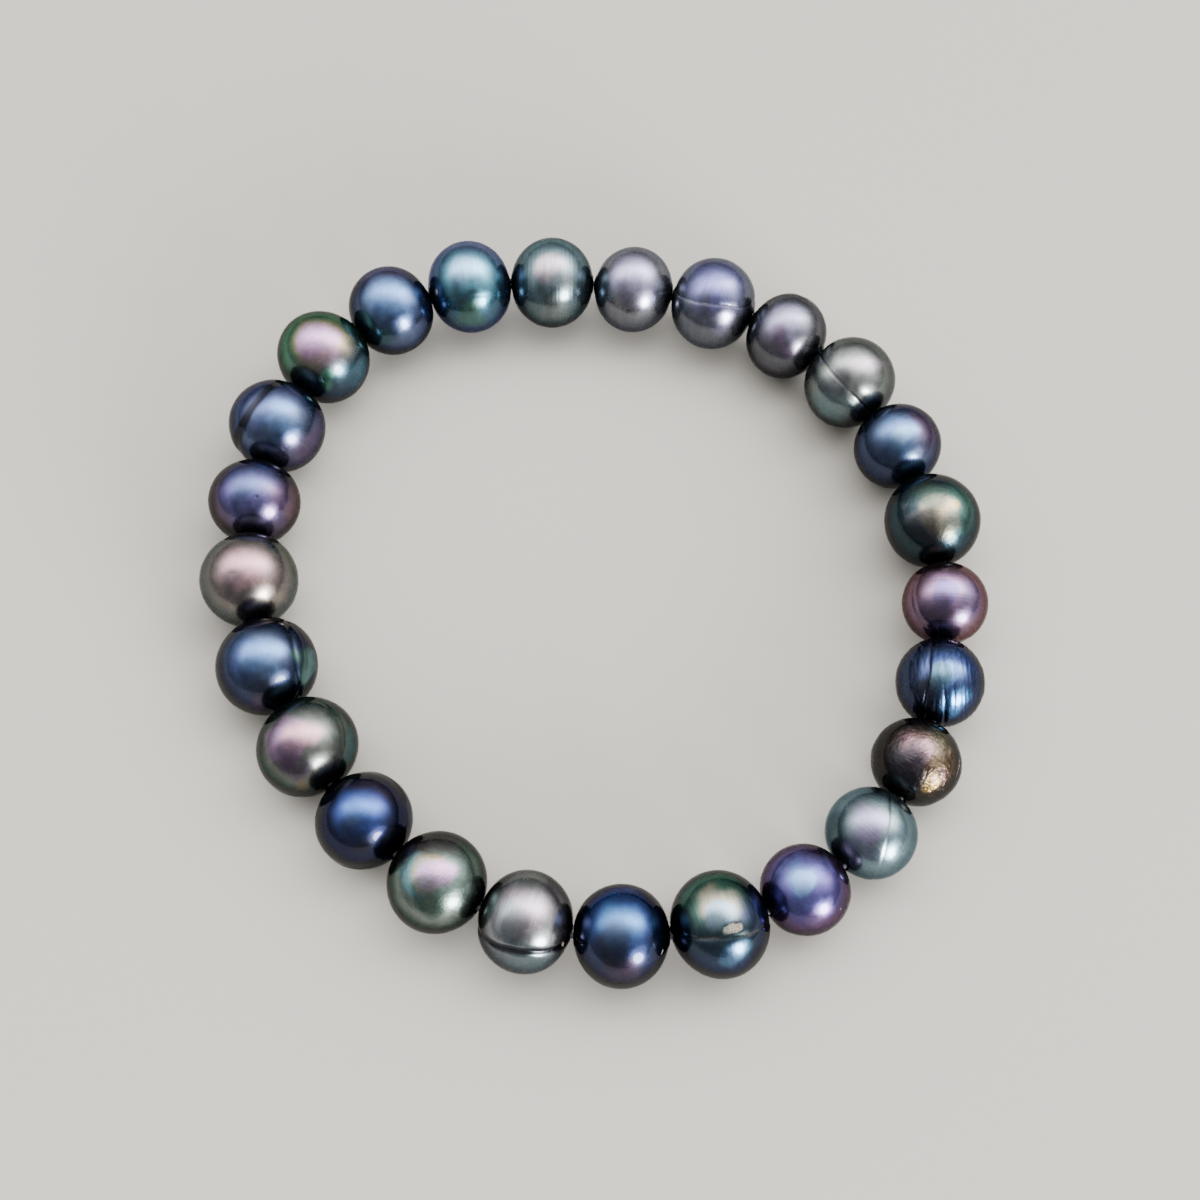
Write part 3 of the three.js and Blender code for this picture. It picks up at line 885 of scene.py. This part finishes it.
        ("emerald", 0.15, -0.50, 0.22, 0.6)]),
    # Pearl 25
    dict(slot="nacre_blue", body="slate_blue", rim="navy",
         fullness=0.30, streaks=("none", 0.08), patches=[
        ("dusky_purple", -0.1, 0.90, 0.50, 0.6), ("indigo", 0.60, 0.1, 0.55, 0.7),
        ("sky_blue", 0.0, 0.32, 0.56, 0.9), ("navy", -0.08, -0.25, 0.38, 0.8),
        ("teal", -0.50, -0.55, 0.45, 0.8)]),
]
print("charted pearls:", len(CHART))

# %% [markdown]
# The material has to know where on its pearl a point lies. A Mapping node turns the object's own
# coordinates into the pearl's: the centre at zero, the surface at one. One set of places is turned to
# the drill hole, for the streaks. The other keeps the room's directions, for patches charted as seen,
# and is bent by slow noise, so that no patch has a drawn edge.

# %% Places on a pearl
DRIFT_SCALE = 1.7
DRIFT_REACH = 0.40


def pearl_places(tree, pearl):
    coordinates = add_node(tree, "ShaderNodeTexCoord").outputs["Object"]
    radius = pearl["radius"] * MM
    size = (radius, radius, radius)
    seen = add_node(tree, "ShaderNodeMapping", {
        "Vector": coordinates, "Location": pearl["centre"], "Scale": size,
    }, vector_type="TEXTURE").outputs["Vector"]
    own = add_node(tree, "ShaderNodeMapping", {
        "Vector": coordinates, "Location": pearl["centre"], "Rotation": (0, 0, pearl["turn"]), "Scale": size,
    }, vector_type="TEXTURE").outputs["Vector"]
    drift = add_node(tree, "ShaderNodeTexNoise", {
        "Vector": seen, "Scale": DRIFT_SCALE, "Detail": 1.0, "Roughness": 0.5}).outputs["Color"]
    centred = add_node(tree, "ShaderNodeVectorMath", {0: drift, 1: (0.5, 0.5, 0.5)}, operation="SUBTRACT")
    bend = scale_vector(tree, centred.outputs[0], DRIFT_REACH)
    bent = add_node(tree, "ShaderNodeVectorMath", {0: seen, 1: bend}, operation="ADD").outputs[0]
    return own, bent


print("places bend by up to", DRIFT_REACH / 2, "radii")

# %% [markdown]
# On a real pearl the layers' thickness drifts, and the colour drifts with it, from the middle of the
# disc to the rim and from patch to patch; a few patches are painted reflection and painted shade, as
# the chart of colours says. How much of a patch shows at a point follows from the angle between the
# point and the middle of the patch, so a patch is round and fades to its edge. The side that turns
# down, to the front and to the left is darkened as painted shade.

# %% Patches of colour
RIM_FACING = (0.80, 0.40)
PATCH_EDGES = (1.35, 0.35)
# Painted shade: the colour is darkened on the side that turns this way, down, to the front and to the left.
PAINTED_SHADE_SIDE = Vector((-0.45, -0.60, -0.66))
PAINTED_SHADE_LEVEL = 0.6


def color4(name):
    return (*PALETTE[name], 1.0)


def facing(tree, place, direction):
    node = add_node(tree, "ShaderNodeVectorMath", {0: place, 1: direction}, operation="DOT_PRODUCT")
    return node.outputs["Value"]


def patch_color(tree, pearl, chart, bent):
    towards_rim = number_ramp(tree, facing(tree, bent, pearl["sight"]), *RIM_FACING)
    color = mix_color(tree, towards_rim, color4(chart["body"]), color4(chart["rim"]))
    # Some patches are painted reflection and painted shade, as the chart of colours says.
    for name, right, up, reach, strength in chart["patches"]:
        outer, inner = (math.cos(edge * math.asin(reach)) for edge in PATCH_EDGES)
        towards = facing(tree, bent, seen_direction(pearl, right, up))
        share = number_ramp(tree, towards, outer, inner, 0.0, strength)
        color = mix_color(tree, share, color, color4(name))
    # Painted shade on the side that turns down, to the front and to the left.
    painted_shade = number_ramp(tree, facing(tree, bent, PAINTED_SHADE_SIDE), 0.1, 0.9, 1.0, PAINTED_SHADE_LEVEL)
    return scale_vector(tree, color, painted_shade)


print("patches charted:", sum(len(chart["patches"]) for chart in CHART))

# %% [markdown]
# Close up, nacre is mottled, and many pearls are streaked the way their rings run. Three noises make
# this: streaks stretched one way, soft clouds and a fine grain. Each lightens and darkens the colour.

# %% Mottling
STREAK_SCALES = {"along": (1.2, 26.0, 26.0), "around": (26.0, 1.2, 1.2), "none": (5.0, 5.0, 5.0)}
CLOUD_SCALE = 6.0
CLOUD_DEPTH = 0.09
GRAIN_SCALE = 34.0
GRAIN_DEPTH = 0.10


def soft_noise(tree, place, scale, detail, roughness):
    node = add_node(tree, "ShaderNodeTexNoise", {
        "Vector": place, "Scale": scale, "Detail": detail, "Roughness": roughness})
    return node.outputs["Fac"]


def mottling(tree, own, way):
    stretched = add_node(tree, "ShaderNodeMapping", {"Vector": own, "Scale": STREAK_SCALES[way]})
    streaks = soft_noise(tree, stretched.outputs["Vector"], 1.0, 3.0, 0.6)
    cloud = soft_noise(tree, own, CLOUD_SCALE, 5.0, 0.6)
    grain = soft_noise(tree, own, GRAIN_SCALE, 3.0, 0.7)
    return streaks, cloud, grain


def mottled_color(tree, color, noises, streak_depth):
    for value, depth in zip(noises, (streak_depth, CLOUD_DEPTH, GRAIN_DEPTH)):
        shade = number_ramp(tree, value, 0.25, 0.75, 1 - depth, 1 + depth)
        color = scale_vector(tree, color, shade)
    return color


print("streak kinds:", ", ".join(STREAK_SCALES))

# %% [markdown]
# A groove or a pit is darkened with painted shade, because little light gets in there. A chip shows
# the chalky shell under the nacre. The numbers kept on the vertices say where both are, so these marks
# stay exactly on the pressed shape.

# %% Grooves and chips in the colour
# Painted shade: grooves and pits are mixed towards this dark colour.
GROOVE_SHADE_COLOR = (0.008, 0.008, 0.014, 1.0)
GROOVE_SHADE = 0.92
CHALK_DARK = (0.05, 0.044, 0.036, 1.0)
CHALK_PALE = (0.24, 0.21, 0.165, 1.0)


def marked_color(tree, color, grain, groove, chip):
    color = mix_color(tree, number_ramp(tree, groove, 0.15, 0.9, 0.0, GROOVE_SHADE), color, GROOVE_SHADE_COLOR)
    chalk = mix_color(tree, number_ramp(tree, grain, 0.35, 0.65), CHALK_DARK, CHALK_PALE)
    return mix_color(tree, chip, color, chalk)


print("groove shade", GROOVE_SHADE)

# %% [markdown]
# The finest relief is too small for the mesh, so it is bump: the grain and streaks of every skin, and
# on the wrinkled pearls a crumple like foil, which breaks the light into glints.

# %% Fine relief
FINE_BUMP = 0.10
FINE_BUMP_MM = 0.06
GRAIN_HEIGHT = 0.25
FOIL_SCALE = 8.0
FOIL_MM = 0.6


def fine_relief(tree, number, bent, streaks, grain):
    height = math_node(tree, "ADD", math_node(tree, "MULTIPLY", grain, GRAIN_HEIGHT), streaks)
    bump = add_node(tree, "ShaderNodeBump", {
        "Height": height, "Strength": FINE_BUMP, "Distance": FINE_BUMP_MM * MM})
    if number in FOIL:
        foil = add_node(tree, "ShaderNodeTexNoise", {
            "Vector": bent, "Scale": FOIL_SCALE, "Detail": 3.0, "Roughness": 0.55, "Distortion": 0.8})
        bump = add_node(tree, "ShaderNodeBump", {
            "Height": foil.outputs["Fac"], "Strength": FOIL[number], "Distance": FOIL_MM * MM,
            "Normal": bump.outputs["Normal"]})
    return bump.outputs["Normal"]


print("foil-like pearls:", sorted(FOIL))

# %% [markdown]
# The nacre material puts these parts together. It is a metal in the shader, because the colour is in
# the reflection, and its roughness gives the soft glow. A thin clear coat adds the wet-looking gloss
# on top. The tint of the edge, made from the rim colour, says how much of the table a pearl mirrors
# near its outline. Where the skin is chipped, metal and gloss give way to dull chalk.

# %% Nacre material
NACRE_ROUGHNESS = (0.22, 0.30)
CHIP_ROUGHNESS_MORE = 0.45
CHIP_METALLIC = 0.1
COAT_WEIGHT = 0.35
COAT_ROUGHNESS = 0.05
COAT_IOR = 1.45
EDGE_TINT = 0.10
EDGE_GAIN = 2.2


def nacre_material(number, pearl, chart):
    material, tree, shader = new_material(pearl["name"] + "_nacre")
    own, bent = pearl_places(tree, pearl)
    way, streak_depth = chart["streaks"]
    streaks, cloud, grain = mottling(tree, own, way)
    groove = add_node(tree, "ShaderNodeAttribute", attribute_name="groove").outputs["Fac"]
    chip = add_node(tree, "ShaderNodeAttribute", attribute_name="chip").outputs["Fac"]

    color = patch_color(tree, pearl, chart, bent)
    color = mottled_color(tree, color, (streaks, cloud, grain), streak_depth)
    color = marked_color(tree, color, grain, groove, chip)
    tree.links.new(color, shader.inputs["Base Color"])

    roughness = number_ramp(tree, cloud, 0.2, 0.8, *NACRE_ROUGHNESS)
    worn = number_ramp(tree, chip, 0.1, 0.8, 0.0, CHIP_ROUGHNESS_MORE)
    tree.links.new(math_node(tree, "ADD", roughness, worn), shader.inputs["Roughness"])
    tree.links.new(number_ramp(tree, chip, 0.1, 0.8, 1.0, CHIP_METALLIC), shader.inputs["Metallic"])
    tree.links.new(fine_relief(tree, number, bent, streaks, grain), shader.inputs["Normal"])

    shader.inputs["Coat Weight"].default_value = COAT_WEIGHT
    shader.inputs["Coat Roughness"].default_value = COAT_ROUGHNESS
    shader.inputs["Coat IOR"].default_value = COAT_IOR
    tint = [min(1.0, EDGE_TINT + EDGE_GAIN * value) for value in PALETTE[chart["rim"]]]
    shader.inputs["Specular Tint"].default_value = (*tint, 1.0)
    return material


print("nacre roughness", NACRE_ROUGHNESS)

# %% [markdown]
# Now each solid pearl is hidden and replaced by its skin, named after its node. The skin takes its
# nacre material from the chart and rides with the one body of the bracelet.

# %% Pearls
for number, (pearl, chart) in enumerate(zip(PEARLS, CHART), start=1):
    piece = make_pearl(number, pearl, chart["fullness"])
    piece.data.materials.append(nacre_material(number, pearl, chart))
    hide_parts(pearl["name"])
    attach(piece, "root")
    if number % 6 == 1:
        print(piece.name, "faces", len(piece.data.polygons))

# %% [markdown]
# The cord is a dark elastic of many fine rubber strands in a knitted cover. Only a trace of it shows
# between the pearls. A closed curve through the crossings, given a round section, makes a smoother
# tube than the solid has, and it is turned into a mesh so that its place stays in its mesh.

# %% Elastic cord
CORD_RADIUS_MM = 0.25
CORD_DARK = (0.018, 0.018, 0.022, 1.0)
CORD_PALE = (0.05, 0.05, 0.058, 1.0)
KNIT_SCALE = 2200.0
KNIT_DEPTH_MM = 0.03


def make_cord():
    curve = bpy.data.curves.new("elastic_cord_path", "CURVE")
    curve.dimensions = "3D"
    curve.resolution_u = 5
    curve.bevel_depth = CORD_RADIUS_MM * MM
    curve.bevel_resolution = 4
    route = []
    for index, crossing in enumerate(CROSSINGS):
        before = CROSSINGS[index - 1]
        for share in (0, 1 / 3, 2 / 3):
            route.append(before.lerp(crossing, share))
    spline = curve.splines.new("BEZIER")
    spline.bezier_points.add(len(route) - 1)
    for point, place in zip(spline.bezier_points, route):
        point.co = place
        point.handle_left_type = "AUTO"
        point.handle_right_type = "AUTO"
    spline.use_cyclic_u = True
    helper = bpy.data.objects.new("elastic_cord_path", curve)
    bpy.context.scene.collection.objects.link(helper)
    bpy.context.view_layer.update()
    data = bpy.data.meshes.new_from_object(helper)
    bpy.data.objects.remove(helper)
    data.name = "elastic_cord_cover"
    data.shade_smooth()
    piece = bpy.data.objects.new("elastic_cord_cover", data)
    bpy.context.scene.collection.objects.link(piece)
    return piece


def cord_material():
    material, tree, shader = new_material("elastic_cover")
    coordinates = add_node(tree, "ShaderNodeTexCoord")
    knit = add_node(tree, "ShaderNodeTexWave", {
        "Vector": coordinates.outputs["Object"], "Scale": KNIT_SCALE, "Distortion": 1.5, "Detail": 2.0},
        wave_type="BANDS", bands_direction="DIAGONAL").outputs["Fac"]
    color = mix_color(tree, knit, CORD_DARK, CORD_PALE)
    tree.links.new(color, shader.inputs["Base Color"])
    tree.links.new(number_ramp(tree, knit, 0.0, 1.0, 0.75, 0.5), shader.inputs["Roughness"])
    bump = add_node(tree, "ShaderNodeBump", {
        "Height": knit, "Strength": 0.5, "Distance": KNIT_DEPTH_MM * MM})
    tree.links.new(bump.outputs["Normal"], shader.inputs["Normal"])
    return material


cord = make_cord()
cord.data.materials.append(cord_material())
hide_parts("elastic_cord")
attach(cord, "root")
print("cord faces", len(cord.data.polygons))
